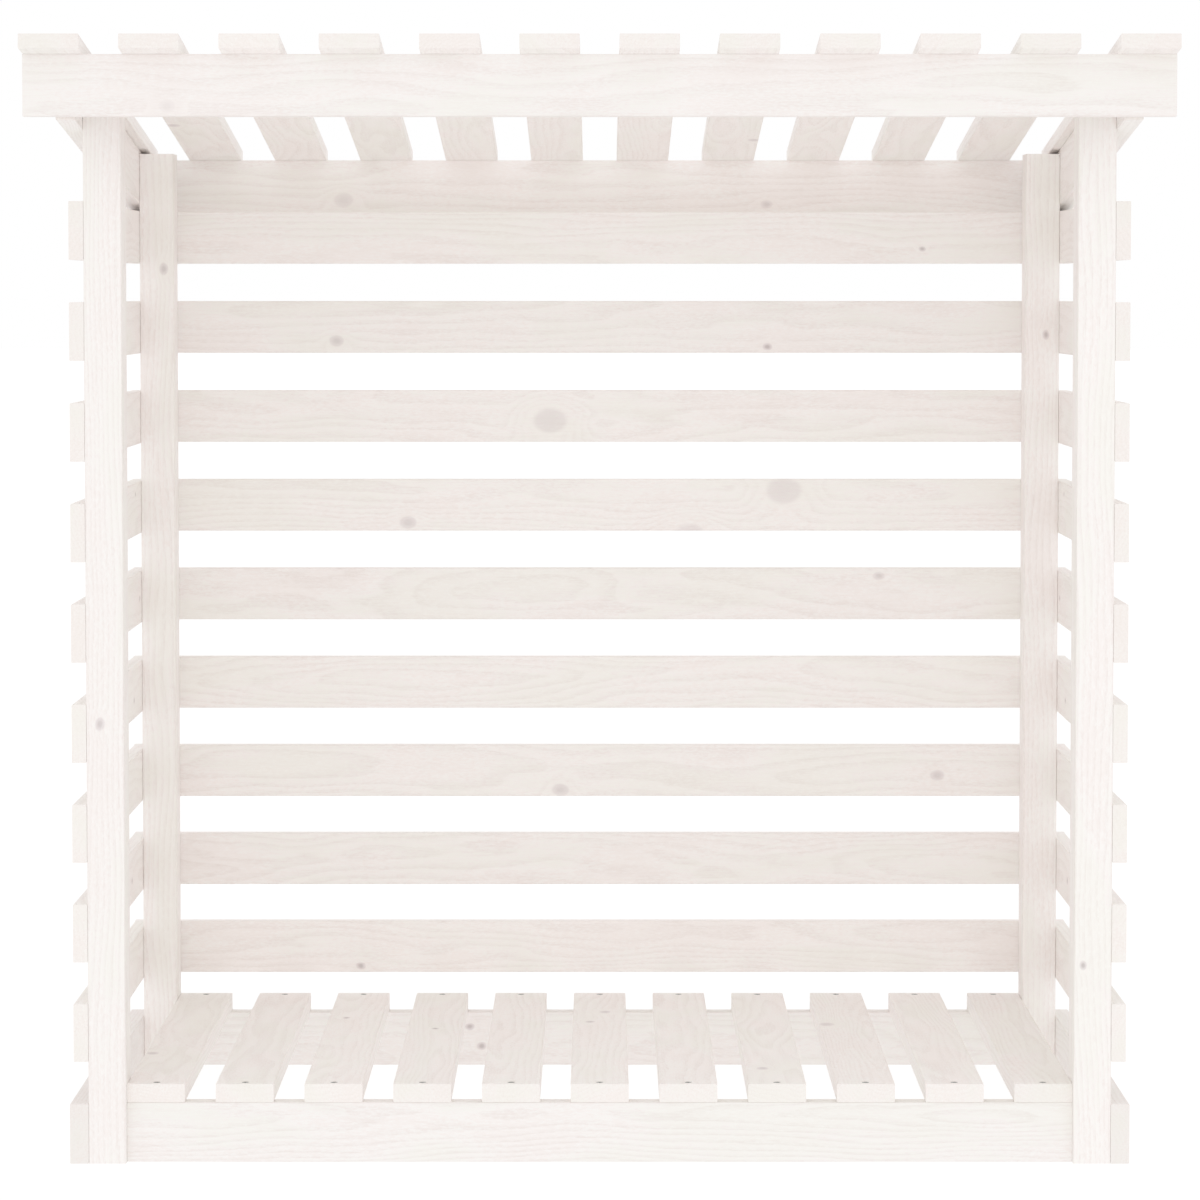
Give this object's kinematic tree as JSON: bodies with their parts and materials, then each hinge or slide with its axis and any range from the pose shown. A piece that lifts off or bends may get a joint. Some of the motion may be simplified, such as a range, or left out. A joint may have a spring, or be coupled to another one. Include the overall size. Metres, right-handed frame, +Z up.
{
  "type": "firewood rack",
  "caption": "Open-fronted wooden firewood rack: slatted sides, back and floor on four posts, under a slatted pent roof that overhangs the front and falls to the back.",
  "frame": {"origin": "on the ground, under the middle of the roof's outline", "axes": "+X to the right seen from the front, +Y from the open front towards the back, +Z up"},
  "size_m": [1.08, 0.73, 1.0799],
  "materials": {
    "whitewashed_pine": "matt white wash over sawn and planed pine, grain and knots showing through",
    "screw_steel": "zinc plated, dull"
  },
  "bodies": {
    "root": {"front_left_post": "whitewashed_pine", "front_right_post": "whitewashed_pine", "rear_left_post": "whitewashed_pine", "rear_right_post": "whitewashed_pine", "left_side_rail": "whitewashed_pine", "right_side_rail": "whitewashed_pine", "front_rail": "whitewashed_pine", "rear_rail": "whitewashed_pine", "left_rake_board": "whitewashed_pine", "right_rake_board": "whitewashed_pine", "front_fascia": "whitewashed_pine", "rear_fascia": "whitewashed_pine", "side_slat_pair_1": "whitewashed_pine", "side_slat_pair_2": "whitewashed_pine", "side_slat_pair_3": "whitewashed_pine", "side_slat_pair_4": "whitewashed_pine", "side_slat_pair_5": "whitewashed_pine", "side_slat_pair_6": "whitewashed_pine", "side_slat_pair_7": "whitewashed_pine", "side_slat_pair_8": "whitewashed_pine", "side_slat_pair_9": "whitewashed_pine", "back_slat_1": "whitewashed_pine", "back_slat_2": "whitewashed_pine", "back_slat_3": "whitewashed_pine", "back_slat_4": "whitewashed_pine", "back_slat_5": "whitewashed_pine", "back_slat_6": "whitewashed_pine", "back_slat_7": "whitewashed_pine", "back_slat_8": "whitewashed_pine", "back_slat_9": "whitewashed_pine", "floor_slat_1": "whitewashed_pine", "floor_slat_2": "whitewashed_pine", "floor_slat_3": "whitewashed_pine", "floor_slat_4": "whitewashed_pine", "floor_slat_5": "whitewashed_pine", "floor_slat_6": "whitewashed_pine", "floor_slat_7": "whitewashed_pine", "floor_slat_8": "whitewashed_pine", "floor_slat_9": "whitewashed_pine", "floor_slat_10": "whitewashed_pine", "floor_slat_11": "whitewashed_pine", "roof_slat_1": "whitewashed_pine", "roof_slat_2": "whitewashed_pine", "roof_slat_3": "whitewashed_pine", "roof_slat_4": "whitewashed_pine", "roof_slat_5": "whitewashed_pine", "roof_slat_6": "whitewashed_pine", "roof_slat_7": "whitewashed_pine", "roof_slat_8": "whitewashed_pine", "roof_slat_9": "whitewashed_pine", "roof_slat_10": "whitewashed_pine", "roof_slat_11": "whitewashed_pine", "roof_slat_12": "whitewashed_pine", "side_wall_screws": "screw_steel", "back_wall_screws": "screw_steel", "floor_screws": "screw_steel", "roof_screws": "screw_steel", "base_screws": "screw_steel", "rake_screws": "screw_steel"}
  },
  "joints": []
}
